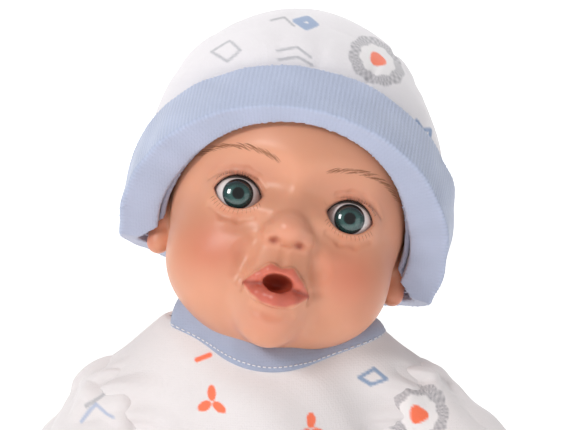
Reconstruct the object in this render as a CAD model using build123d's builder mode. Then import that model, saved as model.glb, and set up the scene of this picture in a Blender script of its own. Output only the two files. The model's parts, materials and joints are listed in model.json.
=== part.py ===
"""Interactive baby doll, seated, in millimetres.

+Z is up and the face looks along -Y. The origin is the middle of the flat seat.
The head leans to its left and looks a little up; that is the rest pose of its joints.
"""
from build123d import *
import os

# --- driving dimensions -------------------------------------------------------
# torso and neck
NECK = Vector(-4, 0, 137)          # pivot of the head, inside the cloth neck
TORSO = [                          # centre and half axes of hips, belly and chest
    ((0, 0, 34), (55, 42, 42)),
    ((0, -3, 66), (46, 39, 39)),
    ((0, 0, 98), (43, 37, 37)),
]
SEAT_TRIM = 2.4                    # the stuffing stops this far above the seat
CLOTH = 1.2                        # thickness of the body cloth
ROMPER = 1.6                       # thickness of the romper jersey
AIR = 0.4                          # gap between soft layers
NECK_ROOM = 24.0                   # radius kept free round the neck pivot
COLLAR_R = 41.0
COLLAR_THICK = 2.4
SNAP_R = 3.5
COLLAR_LOW, COLLAR_HIGH = 114.0, 136.0
# limbs
SHOULDER_X, SHOULDER_Z = 58.0, 117.0
SHOULDER_R, ELBOW_R, WRIST_R = 17.0, 14.0, 10.5
UPPER_ARM = 46.0                   # shoulder to elbow
ARM_DROP = {"right": 40.0, "left": 54.0}  # angle of each upper arm from straight down
FOREARM = (9.0, -32.0, -23.0)      # elbow to wrist, outwards, forwards and down
HAND = (4.0, -15.0, -8.0)          # wrist to the middle of the palm
HIP_X, HIP_Y, HIP_Z = 29.0, -34.0, 24.5
HIP_R, KNEE_R, ANKLE_R = 22.0, 18.0, 13.0
THIGH, SHIN, LEG_SPREAD = 48.0, 44.0, 20.0
KNEE_Z, ANKLE_Z = 21.5, 17.5
LIMB_WAIST = 0.96                  # limb cones a little narrower than their balls
TIE_THICK, TIE_WIDE = 1.3, 3.5
# head, in its own frame: origin midway between the eyes, face along -Y
HEAD_ROLL, HEAD_PITCH, HEAD_YAW = 12.7, -14.0, 1.0
NECK_IN_HEAD = (0, 10, -56)
VINYL = 3.0
SKULL, SKULL_RADII = (0, 6, 18), (50, 58, 50)
FACE, FACE_RADII = (0, -8, -11), (44, 41, 44)
CHEEK, CHEEK_R = (23, -18, -26), 22.5
EYE_X, EYE_Y, EYE_R = 21.8, -32.5, 10.5
EYE_CUP_IN, EYE_CUP_OUT = 10.9, 12.3
EYE_BULGE = 14.2
IRIS_R = 5.9
EYE_OPEN_X, EYE_OPEN_Z, EYE_OPEN_LIFT = 8.6, 6.2, 0.8
EYE_PIN_R = 0.9
MOUTH_Z, MOUTH_R, MOUTH_DEPTH = -32.0, 3.5, 9.0
NECK_TUBE_R, NECK_HOLE_R = 20.0, 16.0
# hat, about an axis that leans back through the skull
HAT_TILT = 35.0
HAT_CENTRE = (0, 6, 14)
HAT_R, HAT_TOP, HAT_CLOTH = 58.4, 67.0, 2.2
CUFF_THICK, CUFF_WIDTH = 5.0, 22.0
HAT_SIDE_Z, HAT_FRONT_Z, HAT_FRONT_Y = -19.0, 31.0, -56.0
# sound module
CASE_X, CASE_FRONT, CASE_SPLIT, CASE_BACK = 28.5, -10.0, 7.5, 25.0
CASE_LOW, CASE_HIGH, CASE_WALL = 33.0, 104.0, 2.0
CELL_R, CELL_LEN, CELL_Y = 7.1, 50.0, 15.2
CELL_Z = (45.0, 60.0, 75.0)
SPEAKER_R, SPEAKER_Z = 14.0, 84.0
BUTTON_R, BUTTON_Z = 9.0, 50.0
BOARD_Y, BOARD_THICK = 5.0, 1.6
SWITCH_Z = 95.0

SIDES = {"right": -1, "left": 1}   # the doll's own right is at -X
os.makedirs("parts", exist_ok=True)
head_place = (
    Location(NECK)
    * Location((0, 0, 0), (0, 1, 0), HEAD_ROLL)
    * Location((0, 0, 0), (1, 0, 0), HEAD_PITCH)
    * Location((0, 0, 0), (0, 0, 1), HEAD_YAW)
    * Location(-Vector(*NECK_IN_HEAD))
)


# --- shapes that repeat, for use inside a BuildPart block ---------------------
def save(part, name, place=Location()):
    """Place a finished piece, label it and write its STEP file."""
    placed = place * part
    placed.label = name
    export_step(placed, f"parts/{name}.step")


def ellipsoid(centre, radii, tilt=0, mode=Mode.ADD):
    """Ellipsoid with three half axes, tilted about X."""
    stretched = scale(Solid.make_sphere(1), by=tuple(radii), mode=Mode.PRIVATE)
    add(Location(centre, (tilt, 0, 0)) * stretched, mode=mode)


def ball(centre, radius, mode=Mode.ADD):
    with Locations(centre):
        Sphere(radius, mode=mode)


def rod(start, end, r_start, r_end=None, mode=Mode.ADD):
    """Round bar or cone from one point to another."""
    span = Vector(*end) - Vector(*start)
    with Locations(Plane(start, z_dir=span).location):
        if r_end is None:
            Cylinder(r_start, span.length, align=(Align.CENTER, Align.CENTER, Align.MIN), mode=mode)
        else:
            Cone(r_start, r_end, span.length, align=(Align.CENTER, Align.CENTER, Align.MIN), mode=mode)


def block(low, high, mode=Mode.ADD):
    """Box between two corners."""
    size = Vector(*high) - Vector(*low)
    with Locations(low):
        Box(size.X, size.Y, size.Z, align=(Align.MIN, Align.MIN, Align.MIN), mode=mode)


def limb(points, radii, grow=0.0, mode=Mode.ADD):
    """Balls at the joints of a limb with slightly waisted cones between them."""
    for point, radius in zip(points, radii):
        ball(point, radius + grow, mode=mode)
    for k in range(len(points) - 1):
        r_start, r_end = (radius + grow for radius in radii[k:k + 2])
        rod(points[k], points[k + 1], r_start * LIMB_WAIST, r_end * LIMB_WAIST - 0.01, mode=mode)


def torso_form(grow, mode=Mode.ADD):
    for centre, radii in TORSO:
        ellipsoid(centre, [radius + grow for radius in radii], mode=mode)


def shoulder(side):
    return (side * SHOULDER_X, 0, SHOULDER_Z)


def hip(side):
    return (side * HIP_X, HIP_Y, HIP_Z)


def clear_joints(grow):
    """Room for the limbs and the neck in a torso layer."""
    for side in SIDES.values():
        ball(shoulder(side), SHOULDER_R + grow, mode=Mode.SUBTRACT)
        ball(hip(side), HIP_R + grow, mode=Mode.SUBTRACT)
    ball(NECK, NECK_ROOM, mode=Mode.SUBTRACT)


def below(level, mode=Mode.SUBTRACT):
    block((-200, -200, level - 100), (200, 200, level), mode=mode)


SLEEVE_OUT = AIR + ROMPER          # sleeve outside the arm
LIMB_ROOM = SLEEVE_OUT + AIR       # clearance round a clothed limb

# --- torso --------------------------------------------------------------------
case_low = Vector(-CASE_X, CASE_FRONT, CASE_LOW)
case_high = Vector(CASE_X, CASE_BACK, CASE_HIGH)
case_gap = Vector(1, 1, 1)
with BuildPart() as torso_stuffing:
    torso_form(0)
    clear_joints(LIMB_ROOM)
    below(SEAT_TRIM + CLOTH)
    block(case_low - case_gap, Vector(CASE_X + 1, 100, CASE_HIGH + 1), mode=Mode.SUBTRACT)
    rod((0, CASE_FRONT - 4, BUTTON_Z), (0, 0, BUTTON_Z), BUTTON_R + 1, mode=Mode.SUBTRACT)
save(torso_stuffing.part, "torso_stuffing")

with BuildPart() as cover_space:
    torso_form(AIR)
    below(SEAT_TRIM + CLOTH - 0.05)
with BuildPart() as torso_cover:
    torso_form(AIR + CLOTH)
    clear_joints(LIMB_ROOM)
    below(SEAT_TRIM)
    add(cover_space.part, mode=Mode.SUBTRACT)
    block((-CASE_X - 1, 0, CASE_LOW - 1), (CASE_X + 1, 100, CASE_HIGH + 1), mode=Mode.SUBTRACT)
save(torso_cover.part, "torso_cover")

romper_in = 2 * AIR + CLOTH
with BuildPart() as romper_space:
    torso_form(romper_in)
    below(SEAT_TRIM - 0.1)
with BuildPart() as romper_body:
    torso_form(romper_in + ROMPER)
    clear_joints(LIMB_ROOM)
    add(romper_space.part, mode=Mode.SUBTRACT)
    below(0)
save(romper_body.part, "romper_body")

with BuildPart() as collar_binding:
    collar_foot, collar_top = (NECK.X, 0, COLLAR_LOW), (NECK.X, 0, COLLAR_HIGH)
    rod(collar_foot, collar_top, COLLAR_R + 3 + COLLAR_THICK, COLLAR_R + COLLAR_THICK)
    rod(collar_foot, collar_top, COLLAR_R + 3, COLLAR_R, mode=Mode.SUBTRACT)
    for s in SIDES.values():
        ball(shoulder(s), SHOULDER_R + LIMB_ROOM, mode=Mode.SUBTRACT)
    torso_form(romper_in + ROMPER + 0.05, mode=Mode.SUBTRACT)
save(collar_binding.part, "collar_binding")


def back_surface(z):
    """Y of the romper's back at height z."""
    depths = []
    for (x, y, middle), radii in TORSO:
        reach = (radii[2] + romper_in + ROMPER) ** 2 - (z - middle) ** 2
        if reach > 0:
            depths.append(y + reach**0.5)
    return max(depths)


with BuildPart() as back_snaps:
    for z in (86, 97, 108):
        y = max(back_surface(z - SNAP_R), back_surface(z), back_surface(z + SNAP_R)) + 0.1
        rod((0, y, z), (0, y + 1.8, z), SNAP_R)
save(back_snaps.part, "back_snaps")

# --- sound module ---------------------------------------------------------------
case_wall = Vector(CASE_WALL, CASE_WALL, CASE_WALL)
screw_spots = [(x, z) for x in (-CASE_X + 4, CASE_X - 4) for z in (CASE_LOW + 4, CASE_HIGH - 4)]
with BuildPart() as front_case:
    block(case_low, (CASE_X, CASE_SPLIT, CASE_HIGH))
    fillet(front_case.edges().filter_by(Axis.Y), 5)
    block(case_low + case_wall, (CASE_X - CASE_WALL, CASE_SPLIT, CASE_HIGH - CASE_WALL), mode=Mode.SUBTRACT)
    for row in (-8, -4, 0, 4, 8):
        for column in (-8, -4, 0, 4, 8):
            if row * row + column * column <= 100:
                spot = (column, CASE_FRONT - 1, SPEAKER_Z + row)
                rod(spot, (column, CASE_FRONT + 3, SPEAKER_Z + row), 1.0, mode=Mode.SUBTRACT)
    rod((0, CASE_FRONT - 1, BUTTON_Z), (0, 0, BUTTON_Z), BUTTON_R + 0.3, mode=Mode.SUBTRACT)
save(front_case.part, "front_case")

door_low = Vector(-26.5, CASE_BACK - 2, 36)
door_high = Vector(26.5, CASE_BACK, 84)
with BuildPart() as rear_case:
    block((-CASE_X, CASE_SPLIT, CASE_LOW), case_high)
    fillet(rear_case.edges().filter_by(Axis.Y), 5)
    block((-26.5, CASE_SPLIT, CASE_LOW + 3), (26.5, CASE_SPLIT + 1.5, CASE_HIGH - 2), mode=Mode.SUBTRACT)
    block((-26.5, CELL_Y - 8, 37), (26.5, CASE_BACK + 1, 83), mode=Mode.SUBTRACT)
    block(door_low - Vector(0, 0, 0.2), door_high + Vector(0, 1, 0.2), mode=Mode.SUBTRACT)
    block((-8, CASE_BACK - 4, SWITCH_Z - 3), (8, CASE_BACK + 1, SWITCH_Z + 3), mode=Mode.SUBTRACT)
save(rear_case.part, "rear_case")

with BuildPart() as battery_door:
    block(door_low + Vector(0.2, 0.1, 0.1), door_high - Vector(0.2, 0, 0.1))
    for z in (44, 52, 60):
        block((-12, CASE_BACK - 0.6, z), (12, CASE_BACK + 1, z + 2), mode=Mode.SUBTRACT)
    rod((0, CASE_BACK - 3, 78), (0, CASE_BACK + 1, 78), 1.6, mode=Mode.SUBTRACT)
    rod((0, CASE_BACK - 0.9, 78), (0, CASE_BACK + 1, 78), 2.9, mode=Mode.SUBTRACT)
save(battery_door.part, "battery_door")

with BuildPart() as door_screw:
    rod((0, CASE_BACK - 0.85, 78), (0, CASE_BACK - 0.1, 78), 2.7)
    rod((0, CASE_BACK - 2.2, 78), (0, CASE_BACK - 0.85, 78), 1.5)
    block((-2, CASE_BACK - 0.5, 77.7), (2, CASE_BACK, 78.3), mode=Mode.SUBTRACT)

with BuildPart() as screws:
    add(door_screw.part)
    for x, z in screw_spots:
        rod((x, CASE_BACK, z), (x, CASE_BACK + 0.9, z), 2.2)
save(screws.part, "screws")

with BuildPart() as batteries:
    for z, way in zip(CELL_Z, (1, -1, 1)):
        rod((-CELL_LEN / 2, CELL_Y, z), (CELL_LEN / 2, CELL_Y, z), CELL_R)
        rod((way * CELL_LEN / 2, CELL_Y, z), (way * (CELL_LEN / 2 + 0.7), CELL_Y, z), 2.6)
save(batteries.part, "batteries")

with BuildPart() as battery_contacts:
    for z in CELL_Z:
        for x in (-26.4, 25.9):
            block((x, CELL_Y - 5, z - 5), (x + 0.5, CELL_Y + 5, z + 5))
save(battery_contacts.part, "battery_contacts")

with BuildPart() as circuit_board:
    block((-24, BOARD_Y, 37), (24, BOARD_Y + BOARD_THICK, 101))
    with Locations(Plane((0, BOARD_Y, 69), z_dir=(0, 1, 0)).location):
        with GridLocations(42, 58, 2, 2):
            Hole(1.6, depth=BOARD_THICK)
save(circuit_board.part, "circuit_board")

with BuildPart() as board_parts:
    for x, z, width, tall, high in ((-10, 66, 12, 12, 1.2), (12, 66, 7, 5, 1.0), (13, 42, 4, 8, 2.0)):
        block((x - width / 2, BOARD_Y - high, z - tall / 2), (x + width / 2, BOARD_Y, z + tall / 2))
    for x, z in ((-18, 46), (-13, 46), (19, 60)):
        rod((x, BOARD_Y - 6, z), (x, BOARD_Y, z), 2.0)
    block((-4, 0.5, BUTTON_Z - 4), (4, BOARD_Y, BUTTON_Z + 4))
save(board_parts.part, "board_parts")

with BuildPart() as speaker_frame:
    rod((0, -6.9, SPEAKER_Z), (0, -5.9, SPEAKER_Z), SPEAKER_R)
    rod((0, -5.9, SPEAKER_Z), (0, -1.5, SPEAKER_Z), SPEAKER_R - 1, 8)
    rod((0, -7.0, SPEAKER_Z), (0, -5.8, SPEAKER_Z), SPEAKER_R - 2, mode=Mode.SUBTRACT)
    rod((0, -5.9, SPEAKER_Z), (0, -1.4, SPEAKER_Z), SPEAKER_R - 2, 6.5, mode=Mode.SUBTRACT)
save(speaker_frame.part, "speaker_frame")

with BuildPart() as speaker_magnet:
    rod((0, -1.5, SPEAKER_Z), (0, 3.5, SPEAKER_Z), 8.0)
    fillet(speaker_magnet.edges().filter_by(GeomType.CIRCLE), 0.5)
save(speaker_magnet.part, "speaker_magnet")

with BuildPart() as speaker_cone:
    rod((0, -5.6, SPEAKER_Z), (0, -2.0, SPEAKER_Z), 11.5, 5.0)
    rod((0, -5.7, SPEAKER_Z), (0, -2.6, SPEAKER_Z), 10.8, 4.3, mode=Mode.SUBTRACT)
save(speaker_cone.part, "speaker_cone")

with BuildPart() as power_switch:
    block((-6.4, CASE_BACK - 3.9, SWITCH_Z - 2.9), (3.4, CASE_BACK - 2.2, SWITCH_Z + 2.9))
    block((-3.8, CASE_BACK - 2.2, SWITCH_Z - 2.4), (0.8, CASE_BACK + 0.6, SWITCH_Z + 2.4))
    fillet(power_switch.edges().filter_by(Axis.Z).sort_by(Axis.Y)[-2:], 0.4)
save(power_switch.part, "power_switch")

with BuildPart() as tummy_button:
    rod((0, CASE_FRONT - 2.5, BUTTON_Z), (0, -3.5, BUTTON_Z), BUTTON_R)
    rod((0, -3.5, BUTTON_Z), (0, -2.5, BUTTON_Z), BUTTON_R)
    fillet(tummy_button.faces().sort_by(Axis.Y)[0].edges(), 1.2)
    rod((0, -6.5, BUTTON_Z), (0, -2, BUTTON_Z), BUTTON_R - 1.5, mode=Mode.SUBTRACT)
save(tummy_button.part, "tummy_button")

# --- neck -------------------------------------------------------------------------
core_r = 13.0
with BuildPart() as neck_core:
    rod(NECK - Vector(0, 0, 22.0), NECK, 8)
    ball(NECK, core_r)
    ball(shoulder(1), SHOULDER_R + LIMB_ROOM, mode=Mode.SUBTRACT)
save(neck_core.part, "neck_core")

neck_x, neck_y, neck_z = NECK_IN_HEAD
with BuildPart() as neck_disc:
    rod((neck_x, neck_y, neck_z + 4), (neck_x, neck_y, neck_z + 7), NECK_HOLE_R - 0.3)
    ball(NECK_IN_HEAD, core_r + 0.3, mode=Mode.SUBTRACT)
save(neck_disc.part, "neck_disc", head_place)

with BuildPart() as neck_tie:
    tie_low, tie_high = neck_z - 3 - TIE_WIDE / 2, neck_z - 3 + TIE_WIDE / 2
    rod((neck_x, neck_y, tie_low), (neck_x, neck_y, tie_high), NECK_TUBE_R + 0.3 + TIE_THICK)
    rod((neck_x, neck_y, tie_low), (neck_x, neck_y, tie_high), NECK_TUBE_R + 0.3, mode=Mode.SUBTRACT)
save(neck_tie.part, "neck_tie", head_place)

# --- head -------------------------------------------------------------------------
with BuildPart() as head_shell:
    ellipsoid(SKULL, SKULL_RADII)
    ellipsoid(FACE, FACE_RADII)
    for s in SIDES.values():
        ball((s * CHEEK[0], CHEEK[1], CHEEK[2]), CHEEK_R)
        ball((s * EYE_X, EYE_Y, 0), EYE_BULGE)
        ellipsoid((s * 48, 8, -8), (5, 9, 14), tilt=-10)
    ball((0, -36, -43), 12)
    ball((0, -41, MOUTH_Z), 13)
    ellipsoid((0, -47, -13), (7, 7, 8.5), tilt=-37)
    rod((neck_x, neck_y, -38), (neck_x, neck_y, neck_z - 9), NECK_TUBE_R)
    # hollow
    ellipsoid(SKULL, [radius - VINYL for radius in SKULL_RADII], mode=Mode.SUBTRACT)
    ellipsoid(FACE, [radius - VINYL for radius in FACE_RADII], mode=Mode.SUBTRACT)
    for s in SIDES.values():
        ball((s * CHEEK[0], CHEEK[1], CHEEK[2]), CHEEK_R - VINYL, mode=Mode.SUBTRACT)
        ball((s * EYE_X, EYE_Y, 0), EYE_CUP_OUT + 0.2, mode=Mode.SUBTRACT)
    rod((neck_x, neck_y, -38), (neck_x, neck_y, neck_z - 10), NECK_HOLE_R, mode=Mode.SUBTRACT)
    # eye and mouth openings
    for s in SIDES.values():
        for reach, flare in ((7, 0.9), (17, 1.5)):
            at = (s * EYE_X, EYE_Y - reach, EYE_OPEN_LIFT * flare)
            with BuildSketch(Plane(at, x_dir=(1, 0, 0), z_dir=(0, -1, 0))):
                Ellipse(EYE_OPEN_X * flare, EYE_OPEN_Z * flare)
        loft(mode=Mode.SUBTRACT)
    rod((0, -60, MOUTH_Z), (0, -54 + MOUTH_DEPTH, MOUTH_Z), MOUTH_R, mode=Mode.SUBTRACT)
save(head_shell.part, "head_shell", head_place)

across = Vector(1, 0, 0)
with BuildPart() as eye_cups:
    for s in SIDES.values():
        eye = Vector(s * EYE_X, EYE_Y, 0)
        ball(eye, EYE_CUP_OUT)
    for s in SIDES.values():
        eye = Vector(s * EYE_X, EYE_Y, 0)
        ball(eye, EYE_CUP_IN, mode=Mode.SUBTRACT)
        block((eye.X - 20, EYE_Y - 30, -20), (eye.X + 20, EYE_Y - 2, 20), mode=Mode.SUBTRACT)
        block((eye.X - 3, EYE_Y - 3, -20), (eye.X + 3, EYE_Y + 20, 5), mode=Mode.SUBTRACT)
        rod(eye - across * 15, eye + across * 15, EYE_PIN_R + 0.05, mode=Mode.SUBTRACT)
save(eye_cups.part, "eye_cups", head_place)

weight_angle = 34.0                # behind straight down, in the head's frame
lash_lift = 32.0
for name, s in SIDES.items():
    eye = Vector(s * EYE_X, EYE_Y, 0)
    with BuildPart() as eyeball:
        ball(eye, EYE_R)
        ball(eye, EYE_R - 1.3, mode=Mode.SUBTRACT)
        rod(eye - across * 15, eye + across * 15, EYE_PIN_R, mode=Mode.SUBTRACT)
        rod(eye + Vector(0, -7.3, 0), eye + Vector(0, -15, 0), IRIS_R, mode=Mode.SUBTRACT)
    save(eyeball.part, f"eyeball_{name}", head_place)

    with BuildPart() as iris:
        rod(eye + Vector(0, -8.2, 0), eye + Vector(0, -7.5, 0), IRIS_R)
    save(iris.part, f"iris_{name}", head_place)

    with BuildPart() as cornea:
        rod(eye + Vector(0, -12, 0), eye + Vector(0, -8.2, 0), IRIS_R)
        ball(eye, EYE_R, mode=Mode.INTERSECT)
    save(cornea.part, f"cornea_{name}", head_place)

    with BuildPart() as eye_pin:
        rod(eye - across * (EYE_CUP_OUT - 0.3), eye + across * (EYE_CUP_OUT - 0.3), EYE_PIN_R)
    save(eye_pin.part, f"eye_pin_{name}", head_place)

    hang = Vector(0, 0, -1).rotate(Axis.X, weight_angle)
    with BuildPart() as eye_weight:
        rod(eye + hang * 9, eye + hang * 15, 1.3)
        rod(eye + hang * 17.5 - across * 5, eye + hang * 17.5 + across * 5, 3.6)
        ball(eye, EYE_R, mode=Mode.SUBTRACT)
    save(eye_weight.part, f"eye_weight_{name}", head_place)

    lash_normal = Vector(0, 0, 1).rotate(Axis.X, -lash_lift)
    lash_middle = eye - lash_normal * 0.2
    with BuildPart() as eyelashes:
        rod(lash_middle, lash_middle + lash_normal * 0.4, 14.5)
        ball(eye, EYE_R, mode=Mode.SUBTRACT)
        block((eye.X - 4, EYE_Y - 20, 0), (eye.X + 4, EYE_Y - 5, 20), mode=Mode.INTERSECT)
    save(eyelashes.part, f"eyelashes_{name}", head_place)

# --- hat --------------------------------------------------------------------------
hat_axis = Vector(0, 0, 1).rotate(Axis.X, -HAT_TILT)


def hat_form(grow, mode=Mode.ADD):
    """Dome above the skull, with a straight skirt so that it slides off."""
    middle = Vector(*HAT_CENTRE)
    ellipsoid(middle, (HAT_R + grow, HAT_R + grow, HAT_TOP + grow), tilt=-HAT_TILT, mode=mode)
    rod(middle - hat_axis * 70, middle, HAT_R + grow, mode=mode)


def trim_hat(rise):
    """Cut away what lies below the rim, which is rise above the hat's edge."""
    block((-200, -200, -200), (200, 200, HAT_SIDE_Z + rise), mode=Mode.SUBTRACT)
    with Locations(rim_plane.offset(rise).location):
        Box(300, 150, 200, align=(Align.CENTER, Align.MIN, Align.MAX), mode=Mode.SUBTRACT)


rim_run = Vector(0, HAT_FRONT_Y - 2, HAT_FRONT_Z - HAT_SIDE_Z)
rim_plane = Plane((0, 2, HAT_SIDE_Z), x_dir=(-1, 0, 0), z_dir=Vector(0, rim_run.Z, -rim_run.Y))
with BuildPart() as hat_crown:
    hat_form(HAT_CLOTH)
    hat_form(0, mode=Mode.SUBTRACT)
    trim_hat(3)
save(hat_crown.part, "hat_crown", head_place)

with BuildPart() as above_cuff:
    hat_form(HAT_CLOTH + 8 + CUFF_THICK)
    trim_hat(CUFF_WIDTH)
with BuildPart() as hat_cuff:
    hat_form(HAT_CLOTH + AIR + CUFF_THICK)
    hat_form(HAT_CLOTH + AIR, mode=Mode.SUBTRACT)
    trim_hat(0)
    add(above_cuff.part, mode=Mode.SUBTRACT)
save(hat_cuff.part, "hat_cuff", head_place)

# --- arms -------------------------------------------------------------------------


def cut_beyond(point, way, mode=Mode.SUBTRACT):
    """Cut off everything past a plane through point."""
    rod(point, Vector(*point) + Vector(*way) * 120, 60, mode=mode)


def tie_ring(point, way, radius):
    """Cable tie round a limb, with its square lock."""
    along = Vector(*way).normalized() * TIE_WIDE
    rod(point, point + along, radius + TIE_THICK)
    rod(point - along, point + along * 2, radius, mode=Mode.SUBTRACT)


def mirrored(part):
    return mirror(part, about=Plane.YZ)


# the forearm and hand, with the elbow at the origin, for the doll's left arm
fore_span = Vector(*FOREARM)
fore = fore_span.normalized()
tie_at = fore * 13
wrist = fore_span
palm = wrist + Vector(*HAND)
finger_way = (palm - wrist).normalized()
with BuildPart() as forearm:
    rod(tie_at + fore * 0.2, tie_at + fore * 6, 10)
    rod(tie_at + fore * 6, wrist, ELBOW_R - 2, WRIST_R - 1.6)
    ball(wrist, WRIST_R - 1.5)
    rod(wrist, palm, WRIST_R - 2, 9)
    ball(palm, 9.5)
    for k in range(4):
        knuckle = palm + finger_way * 6 + Vector((k - 1.5) * 4.2, 0, 2)
        tip = knuckle + Vector(0, -7, -8 - (k == 1))
        ball(knuckle, 3.25)
        rod(knuckle, tip, 3.2, 2.55)
        ball(tip, 2.6)
    thumb = palm + Vector(-9, -5, 1)
    rod(palm + Vector(-5, 0, 0), thumb, 4.2, 2.95)
    ball(thumb, 3)
    rod(tie_at, tie_at + fore * 20, 6.5, mode=Mode.SUBTRACT)
    sensor_top = palm - finger_way * 3
    rod(sensor_top - Vector(0, 0, 1), sensor_top + Vector(0, 0, -20), 5.2, mode=Mode.SUBTRACT)

with BuildPart() as hand_button:
    rod(sensor_top + Vector(0, 0, -3.6), sensor_top + Vector(0, 0, -7.4), 5.0)
    rod(sensor_top + Vector(0, 0, -7.4), sensor_top + Vector(0, 0, -8.2), 5.0, 4.2)

with BuildPart() as arm_tie:
    tie_ring(tie_at + fore * 1.2, fore, 10)

sleeve_end = wrist - fore * 7
with BuildPart() as sleeve_cuff:
    rod(sleeve_end + fore * 0.1, sleeve_end + fore * 9, WRIST_R + 3.6, WRIST_R + 2.6)
    rod(sleeve_end - fore, sleeve_end + fore * 10, WRIST_R + 0.8, WRIST_R + 0.3, mode=Mode.SUBTRACT)

hand_pieces = {
    "forearm": forearm.part,
    "hand_button": hand_button.part,
    "arm_tie": arm_tie.part,
    "sleeve_cuff": sleeve_cuff.part,
}
arm_radii = (SHOULDER_R, ELBOW_R, WRIST_R)
for name, s in SIDES.items():
    down = Vector(s, 0, 0).rotate(Axis.Y, s * (90 - ARM_DROP[name]))
    top = Vector(*shoulder(s))
    elbow = top + (down + Vector(0, -0.12, 0)).normalized() * UPPER_ARM
    wrist_at = elbow + Vector(s * wrist.X, wrist.Y, wrist.Z)
    way = (wrist_at - elbow).normalized()
    arm_line = (top, elbow, wrist_at)
    for piece, solid in hand_pieces.items():
        side_solid = solid if s > 0 else mirrored(solid)
        save(side_solid, f"{piece}_{name}", Location(elbow))

    with BuildPart() as upper_arm:
        limb(arm_line, arm_radii)
        cut_beyond(elbow + way * 13, way)
    save(upper_arm.part, f"upper_arm_{name}")

    with BuildPart() as sleeve_space:
        limb(arm_line, arm_radii, grow=AIR)
    with BuildPart() as sleeve:
        limb(arm_line, arm_radii, grow=SLEEVE_OUT)
        add(sleeve_space.part, mode=Mode.SUBTRACT)
        cut_beyond(wrist_at - way * 7, way)
    save(sleeve.part, f"sleeve_{name}")

# --- legs -------------------------------------------------------------------------
# made for the right leg and mirrored for the left
forward = Vector(0, -1, 0).rotate(Axis.Z, -LEG_SPREAD)
hip_at = Vector(*hip(-1))
knee = hip_at + forward * THIGH
knee = Vector(knee.X, knee.Y, KNEE_Z)
ankle = knee + forward * SHIN
ankle = Vector(ankle.X, ankle.Y, ANKLE_Z)
shin = (ankle - knee).normalized()
tie_at = knee + shin * 14
leg_end = ankle - shin * 8
leg_line = (hip_at, knee, ankle)
leg_radii = (HIP_R, KNEE_R, ANKLE_R)
with BuildPart() as thigh:
    limb(leg_line, leg_radii)
    cut_beyond(tie_at, shin)

with BuildPart() as lower_leg:
    rod(tie_at + shin * 0.2, tie_at + shin * 6, 12)
    rod(tie_at + shin * 6, ankle, KNEE_R - 3.5, ANKLE_R - 1.1)
    ball(ankle, ANKLE_R - 1)
    heel = ankle + forward * 10 + Vector(0, 0, -3)
    ball(heel, 12.05)
    sole = heel + forward * 4 + Vector(0, 0, 17)
    rod(heel, sole, 12, 10)
    ball(sole, 10.2)
    across = Vector(0, 0, 1).cross(forward)
    for k in range(5):
        toe = sole + across * ((k - 2) * 4.1) + Vector(0, 0, 9 - abs(k - 2.6) * 0.9)
        ball(toe, 3.9 if k == 4 else 3.4)
    rod(tie_at, tie_at + shin * 18, 8, mode=Mode.SUBTRACT)

with BuildPart() as leg_tie:
    tie_ring(tie_at + shin * 1.2, shin, 12)

with BuildPart() as trouser_space:
    limb(leg_line, leg_radii, grow=AIR)
with BuildPart() as trouser_leg:
    limb(leg_line, leg_radii, grow=SLEEVE_OUT)
    add(trouser_space.part, mode=Mode.SUBTRACT)
    cut_beyond(leg_end, shin)
    below(0)

with BuildPart() as ankle_cuff:
    rod(leg_end + shin * 0.1, leg_end + shin * 8, ANKLE_R + 3.6, ANKLE_R + 3)
    rod(leg_end - shin, leg_end + shin * 10, ANKLE_R + 1.3, ANKLE_R + 1, mode=Mode.SUBTRACT)

leg_pieces = {
    "thigh": thigh.part,
    "lower_leg": lower_leg.part,
    "leg_tie": leg_tie.part,
    "trouser_leg": trouser_leg.part,
    "ankle_cuff": ankle_cuff.part,
}
for piece, solid in leg_pieces.items():
    save(solid, f"{piece}_right")
    save(mirrored(solid), f"{piece}_left")
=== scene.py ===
"""Looks of the seated baby doll: sculpted vinyl, moving eyes, knit hat and jersey romper."""
import json
import math
import bmesh
import bpy
import numpy as np
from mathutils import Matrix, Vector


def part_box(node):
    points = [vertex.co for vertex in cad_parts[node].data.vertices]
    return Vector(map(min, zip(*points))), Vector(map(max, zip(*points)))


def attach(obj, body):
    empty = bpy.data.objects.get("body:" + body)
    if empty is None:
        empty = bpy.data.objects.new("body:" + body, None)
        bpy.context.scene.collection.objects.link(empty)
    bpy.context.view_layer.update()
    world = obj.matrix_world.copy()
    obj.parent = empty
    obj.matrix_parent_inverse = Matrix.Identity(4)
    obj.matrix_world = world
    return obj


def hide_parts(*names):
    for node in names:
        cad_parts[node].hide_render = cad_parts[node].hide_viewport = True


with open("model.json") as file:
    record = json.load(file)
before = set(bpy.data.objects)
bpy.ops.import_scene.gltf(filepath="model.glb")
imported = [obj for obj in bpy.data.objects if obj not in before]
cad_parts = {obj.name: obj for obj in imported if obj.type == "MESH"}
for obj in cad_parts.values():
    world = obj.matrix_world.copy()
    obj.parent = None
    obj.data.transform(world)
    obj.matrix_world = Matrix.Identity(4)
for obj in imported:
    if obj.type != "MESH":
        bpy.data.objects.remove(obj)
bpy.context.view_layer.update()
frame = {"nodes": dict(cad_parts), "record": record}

import openvdb
from mathutils import Matrix, Vector
from mathutils.bvhtree import BVHTree

MM = 0.001
rng = np.random.default_rng(7)
LEFT_RIGHT = {"right": -1, "left": 1}

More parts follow.
